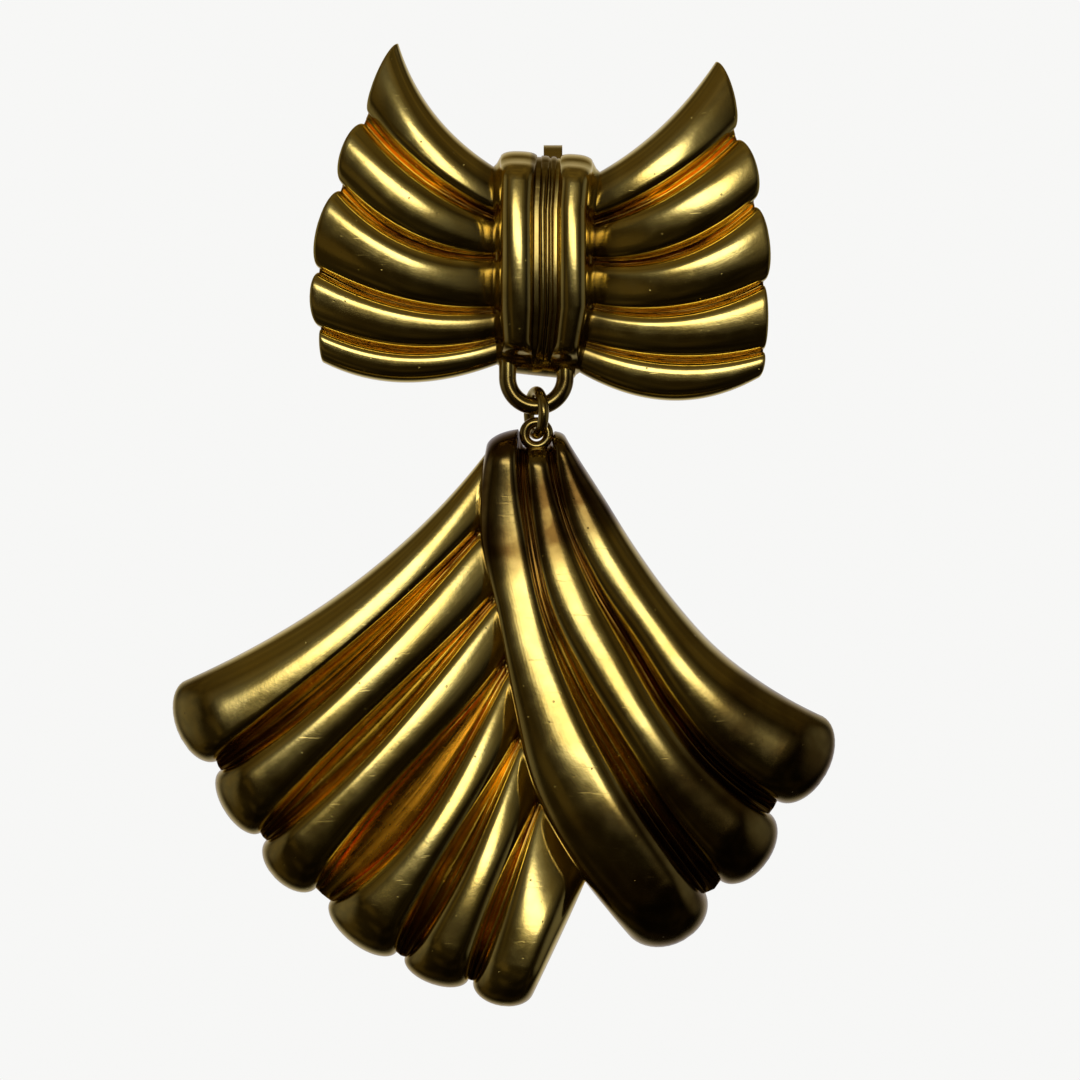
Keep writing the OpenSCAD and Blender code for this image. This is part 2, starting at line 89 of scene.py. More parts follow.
# The tables give the castings' grooves and ribs as seen from the front. A groove's point is
# (x, z, height above the back), and its share is the part of a rib's width that its nearer half takes.
# A wing's grooves: share, then points beside the knot, halfway and at the wing's end
LEFT_GROOVES = [
    (0.00, (-3.85, 7.75, LIP), (-8.3, 11.75, LIP), (-11.0, 16.95, LIP)),
    (0.08, (-3.9, 4.0, 1.4), (-9.15, 7.05, 1.9), (-13.4, 11.3, 1.3)),
    (0.05, (-3.9, 0.9, 1.3), (-10.2, 2.2, 1.9), (-15.2, 6.15, 1.8)),
    (0.03, (-3.9, -3.1, 1.3), (-10.5, -2.65, 1.6), (-16.9, -0.1, 1.6)),
    (0.03, (-3.7, -5.3, 1.1), (-10.45, -6.05, 1.0), (-16.8, -4.4, 1.0)),
    (0.00, (-3.6, -7.1, LIP), (-10.5, -8.45, LIP), (-16.6, -6.95, LIP))]
RIGHT_GROOVES = [
    (0.00, (4.1, 7.35, LIP), (8.8, 10.85, LIP), (12.8, 15.6, LIP)),
    (0.08, (3.7, 3.6, 1.4), (9.35, 6.15, 1.9), (14.25, 10.1, 1.3)),
    (0.05, (3.7, 0.6, 1.3), (10.1, 1.35, 1.9), (15.65, 4.95, 1.8)),
    (0.03, (3.7, -2.85, 1.3), (10.2, -3.1, 1.6), (16.35, -1.05, 1.6)),
    (0.03, (3.1, -5.6, 1.1), (9.95, -6.8, 1.0), (16.35, -6.1, 1.0)),
    (0.00, (2.6, -7.7, LIP), (9.45, -9.8, LIP), (15.95, -8.1, LIP))]
# Where the crest lies across the rib, its height beside the knot, halfway and at the end, and how
# far the rib's end bulges out on the left wing and on the right
WING_RIBS = [
    (0.70, (2.5, 3.0, 1.7), 0.60, 0.70),
    (0.50, (1.9, 3.3, 2.8), 0.95, 0.90),
    (0.36, (2.0, 3.4, 2.9), 1.00, 0.80),
    (0.32, (2.0, 2.7, 2.4), 0.75, 0.35),
    (0.36, (1.5, 1.9, 1.7), 0.20, 0.30)]

# The knot's bars and ridges, by their share of the strap's width: middle, half width, crest height,
# steps across
KNOT_BARS = [
    (0.220, 0.185, 5.0, 22),
    (0.490, 0.045, 4.2, 10),
    (0.575, 0.030, 4.1, 10),
    (0.800, 0.165, 5.0, 22)]
# Height of the strap between its bars, width of its steep sides, how much lower its edges are, and the
# share of its width in which they fall off
STRAP_H = 3.7
STRAP_SIDE = 0.25
EDGE_FALL = 0.3
EDGE_SHARE = 0.03
# How far the knot reaches above the wings and below them, the shares of that at its corners, and the
# power of the rounded outline between the corners
KNOT_CROWN = 1.15
KNOT_FOOT = 0.55
CROWN_CORNER = 0.45
FOOT_CORNER = 0.3
CORNER_POWER = 4
# How much the top edge follows the bars' rise, and the rise at which it keeps its place
CROWN_LOBE = 0.28
CROWN_LOBE_BASE = 0.9
# How much lower the knot is at its top and foot than halfway down
KNOT_ARCH = 1.2
# Shares of the knot's height in which its top and its foot roll over to the back
CROWN_ROLL = 0.11
FOOT_ROLL = 0.15
# Shares of the knot's height where its bars begin and end, and over which their ends are round
BAR_TOP = 0.045
BAR_TOP_ROUND = 0.08
BAR_FOOT = 0.915
BAR_FOOT_ROUND = 0.05
# Sides of the flat stretch behind the knot. The drop has none, so its own lies far off.
KNOT_PAD = (-2.6, 3.4)
NO_PAD = (99, 99)

# The under fan's grooves: share, place on the over fan's left edge, height there, then points
# halfway and at the rim
UNDER_GROOVES = [
    (0.00, 0.012, LIP, (-14.2, -23.35, LIP), (-26.9, -30.75, LIP)),
    (0.16, 0.163, 1.3, (-14.4, -29.0, 2.0), (-24.5, -37.2, 1.3)),
    (0.16, 0.295, 1.4, (-12.0, -33.5, 2.2), (-21.15, -42.5, 1.4)),
    (0.30, 0.425, 1.4, (-8.9, -38.3, 2.2), (-16.7, -46.8, 1.4)),
    (0.16, 0.570, 1.4, (-6.0, -43.0, 2.1), (-10.8, -51.4, 1.4)),
    (0.10, 0.700, 1.3, (-3.1, -46.4, 2.0), (-5.55, -53.25, 1.3)),
    (0.00, 0.880, LIP, (1.15, -50.0, LIP), (-0.85, -54.1, LIP))]
# Crest place, heights at the crossing, halfway and at the rim, bulge of the rounded end
UNDER_RIBS = [
    (0.72, (2.0, 3.5, 3.4), 1.95),
    (0.44, (2.2, 3.7, 3.6), 1.40),
    (0.34, (2.2, 3.6, 3.5), 1.60),
    (0.57, (2.2, 3.7, 3.6), 1.50),
    (0.52, (2.2, 3.6, 3.4), 1.25),
    (0.66, (2.0, 3.3, 3.1), 1.50)]
# Length of an under rib's rounded end
RIB_END = 2.2
# Share of an under groove's full width that is left at its two ends
GROOVE_TAPER = 0.35

# The over fan's grooves: share, then seven points from the eyelet down to the rim
OVER_GROOVES = [
    (0.00, ((-4.4, -13.35, 1.6), (-4.9, -19.75, 2.4), (-3.5, -26.05, 3.4), (-2.4, -32.4, 3.8),
            (-0.95, -38.7, 3.9), (2.0, -44.4, 3.3), (6.0, -49.4, 1.2))),
    (0.10, ((-1.8, -13.3, 1.9), (-1.15, -19.3, 2.8), (0.05, -25.3, 3.4), (2.45, -30.85, 3.5),
            (5.5, -36.1, 3.3), (8.75, -41.2, 2.7), (12.7, -46.4, 1.4))),
    (0.07, ((0.4, -13.2, 1.9), (1.5, -18.55, 2.7), (3.65, -23.5, 3.2), (6.45, -28.1, 3.2),
            (9.3, -32.8, 3.1), (12.7, -37.0, 2.6), (17.15, -40.3, 1.4))),
    (0.00, ((1.6, -12.75, LIP), (4.25, -16.8, LIP), (6.8, -20.85, LIP), (9.6, -24.7, LIP),
            (12.8, -28.25, LIP), (16.6, -31.15, LIP), (20.8, -33.45, LIP)))]
# Crest place, heights at the same seven places, bulge of the rounded end
OVER_RIBS = [
    (0.62, (3.4, 3.4, 3.9, 4.8, 5.5, 5.4, 4.1), 2.60),
    (0.47, (3.2, 3.3, 4.0, 4.8, 5.3, 4.9, 3.7), 2.00),
    (0.40, (3.2, 3.1, 3.7, 4.3, 4.6, 4.3, 3.4), 2.30)]
# Where along the over fan its ribs' ends begin to round off
OVER_END = 0.93
# How far back a rib's bulge reaches, in lengths of its rounded end
BULGE_REACH = 2.2
# The lean of the over fan's left wall: where its top lies across the first rib
WALL_LEAN = 0.975
# Shares of the over fan's length in which its top edge rolls over to the back and its shoulders fade
NECK_ROLL = 0.045
SHOULDER_FADE = 0.12
# Rise of the shoulders beside the eyelet and of the dip between them, half width of the dip's floor and
# width of its sides
SHOULDER = 1.4
DIP_LEVEL = 0.05
DIP_FLAT = 0.9
DIP_SIDE = 0.5

# The soldered rings' place from side to side and height above the backs, then the level of each one's
# middle, its wire and its radius, and how long the hanger's straight legs are
RING_X = -0.65
RING_H = 1.3
HANGER_Z = -8.1
HANGER_WIRE = 1.3
HANGER_R = 2.15
HANGER_LEG = 1.7
EYELET_Z = -12.33
EYELET_WIRE = 0.76
EYELET_R = 0.9

# Steps of the fine meshes: across a rib, along a wing and an under rib, at the over fan's neck and tail,
# round a rib's end, round a wire and round a ring
RIB_STEPS = 24
WING_STEPS = 56
UNDER_STEPS = 60
NECK_STEPS = 8
TAIL_STEPS = 20
END_STEPS = 12
WIRE_STEPS = 32
RING_STEPS = 72
# The small fillet where a rib's side meets the groove: shares of the rib's half width and height, steps,
# and the most of the groove's half width that it takes
FILLET_WIDE = 0.07
FILLET_HIGH = 0.06
FILLET_STEPS = 4
FILLET_REACH = 0.75
# Where the fillet ends across the rib
EDGE = 1 + FILLET_WIDE
# Dip of a groove's hollow floor, as a share of the rib's rise over the groove, and its steps
FLOOR_DIP = 0.38
FLOOR_STEPS = 8
# A rib's arch is a half ellipse raised to this power, which makes it a little squarer
ARCH_POWER = 0.8
# The power of the place along a wing by which its ribs' ends bulge out
WING_BULGE_POWER = 3
# Radius and steps of the worn edge at a wing's cut end, and the wings' length
END_EDGE = 0.18
END_EDGE_STEPS = 4
WING_LENGTH = 13.0

# Where the grooves are painted amber, a painted reflection of light bounced between the ribs, instead of the
# brown of painted shade: groove number, where along it the amber begins and ends, and how strong it is, up
# to the deepest strength below. The drop counts the under fan's grooves first, then the over fan's.
BOW_PAINTED_AMBER = [(1, 0.30, 0.97, 0.9), (2, 0.62, 0.97, 0.55), (3, 0.80, 0.97, 0.25)]
DROP_PAINTED_AMBER = [(1, 0.12, 0.62, 0.85), (2, 0.08, 0.75, 0.95), (3, 0.06, 0.85, 1.5), (4, 0.04, 0.62, 0.95),
               (5, 0.20, 0.70, 0.8), (7, 0.36, 0.68, 0.9), (8, 0.50, 0.60, 0.1)]
# The strength at which a groove's painted amber is all deep. At 1 it is still plain amber.
DEEP_PAINTED_AMBER = 1.5
# Shares of a groove's length over which its painted amber reflection comes and goes
PAINTED_AMBER_IN = 0.12
PAINTED_AMBER_OUT = 0.25
# Patches of painted shade, where the polished gold is darkened to stand for shade and dark reflections: from
# and to across the ribs, from and to along them, how strong. The knot's places across count from KNOT_LANE,
# and its strap spans KNOT_LANES of them.
KNOT_LANE = 10
KNOT_LANES = 6
BOW_PAINTED_SHADE = [(-1, 6, -1.0, 0.10, 0.55), (10, 17, 0.62, 2.0, 0.45), (12.1, 13.75, -1.0, 2.0, 0.65)]
DROP_PAINTED_SHADE = [(6.02, 10, -1.0, 0.26, 0.95), (6.02, 10, -1.0, 2.0, 0.3), (6.02, 10, 0.74, 2.0, 0.80),
                (-1, 5.98, 0.88, 2.0, 0.45)]
# Widths of a patch's soft edges, across the ribs and along them
PATCH_SOFT = (0.15, 0.12)
# How tarnished the soldered rings, the jump ring and the clip are
RING_TARNISH = 0.72
LINK_TARNISH = 0.45
CLIP_TARNISH = 0.2
# How much rougher than the castings the jump ring and the clip are
LINK_ROUGHER = 0.04
CLIP_ROUGHER = 0.16
# The angle past which an edge stays sharp, on the castings and the clip, and on the jump ring
SHARP = 38
RING_SHARP = 60

# The gold's fine detail, in waves a metre: clouds of toning, haze in the polish, grain, and pits
CLOUD_SCALE = 260.0
HAZE_SCALE = 900.0
GRAIN_SCALE = 4200.0
PIT_SCALE = 900.0
# How the scratches' noise is turned, in radians, and stretched, in waves a metre
SCRATCH_TURN = (0.2, 0.5, 0.4)
SCRATCH_SCALE = (300.0, 5200.0, 4300.0)
# The fine lines along the ribs, in waves across a rib and along it
LANE_SCALE = (17.0, 2.2, 0.0)
# Heights in the gold's bump, as shares of BUMP: the haze, grain, scratches and pits, and the fine lines
# on a rib and in a groove
HAZE_HEIGHT = 0.12
GRAIN_HEIGHT = 0.09
SCRATCH_DEPTH = 0.05
PIT_DEPTH = 0.6
RIB_LINES = 0.1
GROOVE_LINES = 1.2
BUMP = 0.06
# Roughness that the haze takes away and adds, and that scratches and the darkening of tarnish and painted
# shade add
HAZE_SHINE = 0.03
HAZE_DULL = 0.04
MARK_DULL = 0.06
# Roughness that a groove adds, and that its painted amber adds to that
GROOVE_DULL = 0.02
AMBER_DULL = 0.09
# Waves a metre of the floor's mottle, and the share of brightness left where it is darkest
MOTTLE_SCALE = 3.0
MOTTLE_SHADE = 0.985
# Share of a softbox's area that is at full strength
SOFTBOX_CORE = 0.12

# Spacing of the nodes in a shader's sheet, and how many stand in a row
NODE_WIDE = 180
NODE_HIGH = 220
NODES_IN_ROW = 8


def mix(a, b, t):
    return a + (b - a) * t


def clamp(t):
    return min(1.0, max(0.0, t))


def ease(t):
    c = np.clip(t, 0, 1)
    return c * c * (3 - 2 * c)


def window(t, low, high, soft):
    """1 between low and high and 0 elsewhere, with soft edges."""
    return ease((t - low) / soft + 0.5) * ease((high - t) / soft + 0.5)


def quarter(t):
    """A quarter circle's rise, from 0 at t = 0 to 1 at t = 1."""
    c = clamp(t)
    return math.sqrt(c * (2 - c))


def curve(points, t):
    """A smooth curve through evenly spaced points or heights, for t from 0 to 1."""
    p = [np.array(q, dtype=float) for q in points]
    n = len(p) - 1
    s = min(math.floor(t * n), n - 1)
    f = t * n - s
    b, c = p[s], p[s + 1]
    a = p[s - 1] if s > 0 else 3 * p[0] - 3 * p[1] + p[2]
    d = p[s + 2] if s < n - 1 else 3 * p[n] - 3 * p[n - 1] + p[n - 2]
    return b + f / 2 * (c - a + f * (2 * a - 5 * b + 4 * c - d + f * (3 * (b - c) + d - a)))


def arch(angle):
    """(place across, rise) of a rib's slightly squared arch, at an angle from -90 to 90 degrees."""
    s, c = math.sin(math.radians(angle)), max(0.0, math.cos(math.radians(angle)))
    return math.copysign(abs(s) ** ARCH_POWER, s), c ** ARCH_POWER


class Row(NamedTuple):
    """A row of points that runs along a pleated sheet.
    rib: its number. place: from -1 to 1 across the arch, past that in the fillet and past EDGE in the
    groove's floor, up to EDGE + 1 at the groove's middle. rise: share of the rib's height. groove: how
    deep it lies in the groove, 0 to 1. wall: it is the foot of a wall."""
    rib: int
    place: float
    rise: float
    groove: float
    wall: bool = False


def rib_side():
    """(place, rise, groove) of the rows on the right of an arch, from its foot to the middle of the
    groove's hollow floor."""
    rows = []
    for i in range(1, FILLET_STEPS + 1):
        b = math.radians(90 * i / FILLET_STEPS)
        rows.append((1 + FILLET_WIDE * (1 - math.cos(b)), FILLET_HIGH * (1 - math.sin(b)),
                     i / FILLET_STEPS))
    for i in range(1, FLOOR_STEPS + 1):
        b = math.radians(90 * i / FLOOR_STEPS)
        rows.append((EDGE + 1 - math.cos(b), -FLOOR_DIP * math.sin(b), 1.0))
    return rows


def rib_rows(rib, open_left, open_right):
    """The rows of one rib. An open side ends at the arch's foot."""
    rows = []
    if not open_left:
        rows += [Row(rib, -u, h, g) for u, h, g in reversed(rib_side()[:-1])]
    for i in range(RIB_STEPS + 1):
        angle = -90 + 180 * i / RIB_STEPS
        u, h = arch(angle)
        side_open = open_left if angle < 0 else open_right
        rows.append(Row(rib, u, mix(0 if side_open else FILLET_HIGH, 1, h), 0.0))
    if not open_right:
        rows += [Row(rib, u, h, g) for u, h, g in rib_side()]
    return rows


def all_rows(ribs):
    return [row for k in range(ribs) for row in rib_rows(k, k == 0, k == ribs - 1)]


def over_fan_rows():
    """The over fan's rows. The first is the foot of its left wall, and the wall leans in to the second."""
    rows = [row._replace(place=row.place * WALL_LEAN) if row.rib == 0 and row.place < 0 else row
            for row in all_rows(len(OVER_RIBS))]
    return [Row(0, -1.0, 0.0, 0.0, True)] + rows


def across(row, crest, share_a, share_b):
    """How far across its rib a row lies, from 0 at the first groove to 1 at the next. The fillet is
    narrower where the groove is."""
    share = share_a if row.place < 0 else share_b
    side = crest if row.place < 0 else 1 - crest
    arm = side - share
    fillet = min(arm * FILLET_WIDE, FILLET_REACH * share) * clamp((abs(row.place) - 1) / FILLET_WIDE)
    reach = mix(arm * min(1.0, abs(row.place)) + fillet, side, max(0.0, abs(row.place) - EDGE))
    return crest + math.copysign(reach, row.place)


def end_share(t, share_a, share_b):
    """Share of a rounded rib end's bulge at t across the rib, for its half-round outline."""
    s = 2 * (t - share_a) / (1 - share_a - share_b) - 1
    return math.sqrt(max(0.0, 1 - s * s))


def taper(v):
    """Width of an under groove as a share of its full width, which it has halfway."""
    return mix(GROOVE_TAPER, 1, 4 * v * (1 - v))


def square_to(a, b, side):
    """Unit vector square to the way from a to b: on its left in the front view, or for -1 its right."""
    d = np.array(b[:2], dtype=float) - np.array(a[:2], dtype=float)
    d /= np.linalg.norm(d)
    return side * np.array([-d[1], d[0]])


def wing_point(grooves, side, row, v):
    """One point of a wing: v runs from 0 at the knot to 1 at the wing's end. Like each point of a sheet it
    is (x, z, height, depth in the groove, place across the ribs, place along them)."""
    crest_at, crests, bulge_left, bulge_right = WING_RIBS[row.rib]
    a, b = grooves[row.rib], grooves[row.rib + 1]
    pa, pb = curve(a[1:], v), curve(b[1:], v)
    t = across(row, crest_at, a[0], b[0])
    bulge = (bulge_left if side < 0 else bulge_right) * end_share(t, a[0], b[0])
    p = mix(pa[:2], pb[:2], t) + bulge * v ** WING_BULGE_POWER * square_to(a[3], b[3], side)
    h = mix(pa[2] if row.place < 0 else pb[2], float(curve(crests, v)), row.rise)
    return np.array([p[0], p[1], h, row.groove, row.rib + t, v])


def knot_columns():
    """The columns across the knot's strap: (share of the strap's width, height, rise of the bar)."""
    edge, inside = STRAP_H - EDGE_FALL, STRAP_H - EDGE_FALL / 3
    columns = [(0.0, edge, 0.0), (EDGE_SHARE, inside, 0.0)]
    for middle, half, crest, steps in KNOT_BARS:
        for i in range(steps + 1):
            u, h = arch(-90 + 180 * i / steps)
            columns.append((middle + half * u, STRAP_H, (crest - STRAP_H) * h))
    return columns + [(1 - EDGE_SHARE, inside, 0.0), (1.0, edge, 0.0)]


def knot_point(column, left, right, left_span, right_span):
    """One point of the knot, on a row from the left wing's root to the right wing's root. A span is the
    top and the bottom of a wing's root."""
    s, strap, bar_rise = column
    q = mix((left_span[0] - left[1]) / (left_span[0] - left_span[1]),
            (right_span[0] - right[1]) / (right_span[0] - right_span[1]), s)
    arc = (1 - abs(2 * s - 1) ** CORNER_POWER) ** (1 / CORNER_POWER)
    top = mix(left_span[0], right_span[0], s) + KNOT_CROWN * mix(CROWN_CORNER, 1, arc)
    top += CROWN_LOBE * (bar_rise - CROWN_LOBE_BASE)
    low = mix(left_span[1], right_span[1], s) - KNOT_FOOT * mix(FOOT_CORNER, 1, arc)
    roll = quarter(q / CROWN_ROLL) * quarter((1 - q) / FOOT_ROLL)
    bar = quarter((q - BAR_TOP) / BAR_TOP_ROUND) * quarter((BAR_FOOT - q) / BAR_FOOT_ROUND)
    height = strap + bar_rise * bar - KNOT_ARCH * (2 * q - 1) ** 2
    return np.array([mix(left[0] + STRAP_SIDE, right[0] - STRAP_SIDE, s), mix(top, low, q),
                     mix(LIP, height, roll), 0.0, KNOT_LANE + KNOT_LANES * s, q])


def wing_places():
    """(place along the wing, drop of the worn edge) from the knot out to the cut end."""
    last = 1 - END_EDGE / WING_LENGTH
    places = [(last * j / WING_STEPS, 0.0) for j in range(WING_STEPS + 1)]
    for i in range(1, END_EDGE_STEPS + 1):
        b = math.radians(90 * i / END_EDGE_STEPS)
        places.append((mix(last, 1, math.sin(b)), END_EDGE * (1 - math.cos(b))))
    return places


def grid_quads(rows, columns, at):
    """Quads of a grid whose corner (row, column) is the point at(row, column)."""
    return [(at(i, j), at(i, j + 1), at(i + 1, j + 1), at(i + 1, j))
            for i in range(rows - 1) for j in range(columns - 1)]


def bow_sheet():
    """The bow's front: its points, quads and outline loop."""
    rows = all_rows(len(WING_RIBS))
    places = wing_places()

    def wing(grooves, side):
        points = [[wing_point(grooves, side, row, v) for v, _ in places] for row in rows]
        for line in points:
            for point, (_, drop) in zip(line, places):
                point[2] = max(LIP, point[2] - drop)
        return points

    left = [list(reversed(line)) for line in wing(LEFT_GROOVES, -1)]
    right = wing(RIGHT_GROOVES, 1)
    left_span = (left[0][-1][1], left[-1][-1][1])
    right_span = (right[0][0][1], right[-1][0][1])
    columns = knot_columns()
    lines = [a + [knot_point(c, a[-1], b[0], left_span, right_span) for c in columns] + b
             for a, b in zip(left, right)]
    wide = len(lines[0])
    points = np.array([p for line in lines for p in line])
    last = len(lines) - 1
    loop = list(range(wide)) + [i * wide + wide - 1 for i in range(1, last + 1)]
    loop += [last * wide + j for j in range(wide - 2, -1, -1)]
    loop += [i * wide for i in range(last - 1, 0, -1)]
    return points, grid_quads(last + 1, wide, lambda i, j: i * wide + j), loop


def crossing_place(row):
    """How far down the over fan's left edge a row of the under fan comes out."""
    a, b = UNDER_GROOVES[row.rib], UNDER_GROOVES[row.rib + 1]
    return mix(a[1], b[1], across(row, UNDER_RIBS[row.rib][0], a[0] * taper(0), b[0] * taper(0)))


def end_bulge(bulge, v, end):
    """How much of a rib's bulge there is at v, with its rounded end from end to 1."""
    return bulge * clamp(1 - (1 - v) / (1 - end) / BULGE_REACH) ** 2


def under_point(row, j):
    """One point of the under fan: j counts steps from 0 at the over fan's edge out to the rim."""
    crest_at, crests, bulge = UNDER_RIBS[row.rib]
    a, b = UNDER_GROOVES[row.rib], UNDER_GROOVES[row.rib + 1]
    edge = OVER_GROOVES[0][1]
    root_a, root_b = curve(edge, a[1])[:2], curve(edge, b[1])[:2]
    length = mix(np.linalg.norm(np.array(a[4][:2]) - root_a), np.linalg.norm(np.array(b[4][:2]) - root_b),
                 across(row, crest_at, a[0], b[0]))
    end = 1 - RIB_END / length
    turn = math.radians(90 * max(0, j - UNDER_STEPS) / END_STEPS)
    v = end * j / UNDER_STEPS if j < UNDER_STEPS else mix(end, 1, math.sin(turn))
    share_a, share_b = a[0] * taper(v), b[0] * taper(v)
    t = across(row, crest_at, share_a, share_b)
    pa = curve((np.append(root_a, a[2]), a[3], a[4]), v)
    pb = curve((np.append(root_b, b[2]), b[3], b[4]), v)
    draw = (curve(edge, crossing_place(row))[:2] - mix(root_a, root_b, t)) * (1 - v) ** 2
    out = end_bulge(bulge, v, end) * end_share(t, share_a, share_b)
    p = mix(pa[:2], pb[:2], t) + draw + out * square_to(a[4], b[4], -1)
    h = mix(pa[2] if row.place < 0 else pb[2], float(curve(crests, v)), row.rise)
    return np.array([p[0], p[1], mix(LIP, h, math.cos(turn)), row.groove, row.rib + t, v])


def shoulder(x):
    """Rise of the over fan's top edge at x, with the dip that the jump ring swings in."""
    x0, x1 = OVER_GROOVES[0][1][0][0], OVER_GROOVES[3][1][0][0]
    s = clamp((x - x0) / (x1 - x0)) * 2 - 1
    dip = 1 - float(ease((abs(x - RING_X) - DIP_FLAT) / DIP_SIDE))
    return mix(SHOULDER * math.sqrt(1 - s * s), DIP_LEVEL, dip)


def over_point(row, v, turn, foot):
    """One point of the over fan: v runs from 0 at the eyelet to 1 at the rim, turn is the angle round a
    rib's rounded end, and foot is the height that the fan's left side stands on."""
    crest_at, crests, bulge = OVER_RIBS[row.rib]
    a, b = OVER_GROOVES[row.rib], OVER_GROOVES[row.rib + 1]
    t = across(row, crest_at, a[0], b[0])
    pa, pb = curve(a[1], v), curve(b[1], v)
    rise = shoulder(mix(a[1][0][0], b[1][0][0], t)) * clamp(1 - v / SHOULDER_FADE) ** 2
    out = end_bulge(bulge, v, OVER_END) * end_share(t, a[0], b[0])
    p = mix(pa[:2], pb[:2], t) + out * square_to(a[1][6], b[1][6], -1)
    h = foot if row.wall else mix(pa[2] if row.place < 0 else pb[2], float(curve(crests, v)), row.rise)
    h = mix(LIP, h, math.cos(turn) * quarter(v / NECK_ROLL))
    return np.array([p[0], p[1] + rise, h, row.groove, len(UNDER_RIBS) + row.rib + t, v])


def drop_sheet():
    """The drop's front: its points, quads and outline loop."""
    under_rows, over_rows = all_rows(len(UNDER_RIBS)), over_fan_rows()
    under_last, over_last = len(under_rows) - 1, len(over_rows) - 1
    under_columns = UNDER_STEPS + END_STEPS
    under = [[under_point(row, j) for j in range(under_columns + 1)] for row in under_rows]
    crossing = [crossing_place(row) for row in under_rows]
    places = [(crossing[0] * (1 - math.cos(math.radians(90 * i / NECK_STEPS))), 0.0, LIP)
              for i in range(NECK_STEPS)]
    places += [(crossing[i], 0.0, under[i][0][2]) for i in range(under_last + 1)]
    places += [(mix(crossing[-1], OVER_END, i / TAIL_STEPS), 0.0, LIP) for i in range(1, TAIL_STEPS + 1)]
    for i in range(1, END_STEPS + 1):
        turn = math.radians(90 * i / END_STEPS)
        places.append((mix(OVER_END, 1, math.sin(turn)), turn, LIP))
    down = len(places)
    over = [over_point(row, *place) for row in over_rows for place in places]
    first = len(over)
    points = np.array(over + [p for line in under for p in line[1:]])

    def over_at(i, j):
        return i * down + j

    def under_at(i, j):
        return over_at(0, NECK_STEPS + i) if j == 0 else first + i * under_columns + j - 1

    quads = [(over_at(i, j), over_at(i + 1, j), over_at(i + 1, j + 1), over_at(i, j + 1))
             for i in range(over_last) for j in range(down - 1)]
    quads += [(under_at(i, j + 1), under_at(i, j), under_at(i + 1, j), under_at(i + 1, j + 1))
              for i in range(under_last) for j in range(under_columns)]
    loop = [over_at(i, 0) for i in range(over_last + 1)]
    loop += [over_at(over_last, j) for j in range(1, down)]
    loop += [over_at(i, down - 1) for i in range(over_last - 1, -1, -1)]
    loop += [over_at(0, j) for j in range(down - 2, NECK_STEPS + under_last - 1, -1)]
    loop += [under_at(under_last, j) for j in range(1, under_columns + 1)]
    loop += [under_at(i, under_columns) for i in range(under_last - 1, -1, -1)]
    loop += [under_at(0, j) for j in range(under_columns - 1, -1, -1)]
    loop += [over_at(0, j) for j in range(NECK_STEPS - 1, 0, -1)]
    return points, quads, loop


def hollowed(front, loop, pad):
    """The back of a casting: flat at its rim and over the pad, hollow elsewhere."""
    outline = front[loop, :2][::OUTLINE_STRIDE]
    rim = np.concatenate([np.linalg.norm(part[:, None, :2] - outline, axis=2).min(axis=1)
                          for part in np.array_split(front, RIM_BATCHES)])
    near = np.minimum(rim, np.maximum(pad[0] - front[:, 0], front[:, 0] - pad[1]))
    depth = np.clip(front[:, 2] - WALL, 0, HOLLOW) * ease((near - RIM) / RIM)
    mark = np.full(len(front), BACK_MARK)
    return np.column_stack([front[:, :2], depth, mark, front[:, 4:]])


def toned(place, along, table):
    """How much painted amber reflection each point's groove gets, from 0 for the brown of painted shade to
    1, or on to the deepest strength for deep amber.
    """
    warm = np.zeros(len(place))
    for groove, start, stop, amount in table:
        share = ease((along - start) / PAINTED_AMBER_IN) * (1 - ease((along - stop) / PAINTED_AMBER_OUT))
        warm = np.where(np.abs(place - groove) < 0.5, amount * share, warm)
    return warm


def painted_shade(place, along, patches):
    """How much painted shade darkens each point, from 0 to 1."""
    total = np.zeros(len(place))
    for left, right, start, stop, amount in patches:
        share = window(place, left, right, PATCH_SOFT[0]) * window(along, start, stop, PATCH_SOFT[1])
        total = np.maximum(total, amount * share)
    return total


def add_values(mesh, name, values):
    """Stores a number for each point of a mesh."""
    attribute = mesh.attributes.new(name, "FLOAT", "POINT")
    attribute.data.foreach_set("value", values.astype(np.float32))


def casting_mesh(name, sheet, pad, painted_amber, patches):
    """A closed mesh between a front sheet and its hollowed back. It keeps each point's depth in the groove,
    its lane, which is (place across the ribs, place along them, how much painted amber reflection the groove
    gets), and how much painted shade darkens it."""
    front, quads, loop = sheet
    points = np.concatenate([front, hollowed(front, loop, pad)])
    n = len(front)
    faces = [(d, c, b, a) for a, b, c, d in quads]
    faces += [(n + a, n + b, n + c, n + d) for a, b, c, d in quads]
    faces += [(a, b, n + b, n + a) for a, b in zip(loop, loop[1:] + loop[:1])]
    mesh = bpy.data.meshes.new(name)
    x, z, height, groove, place, along = points.T
    mesh.from_pydata((np.column_stack([x, BACK_Y - height, z]) * MM).tolist(), [], faces)
    add_values(mesh, "groove", groove)
    lane = np.column_stack([place, along, toned(place, along, painted_amber)])
    attribute = mesh.attributes.new("lane", "FLOAT_VECTOR", "POINT")
    attribute.data.foreach_set("vector", lane.astype(np.float32).ravel())
    # Painted shade: the patches where the castings are darkened to stand for shade and dark reflections
    add_values(mesh, "tarnish_and_shade", painted_shade(place, along, patches) * (groove > BACK_MARK))
    mesh.validate()
    mesh.update()
    return mesh


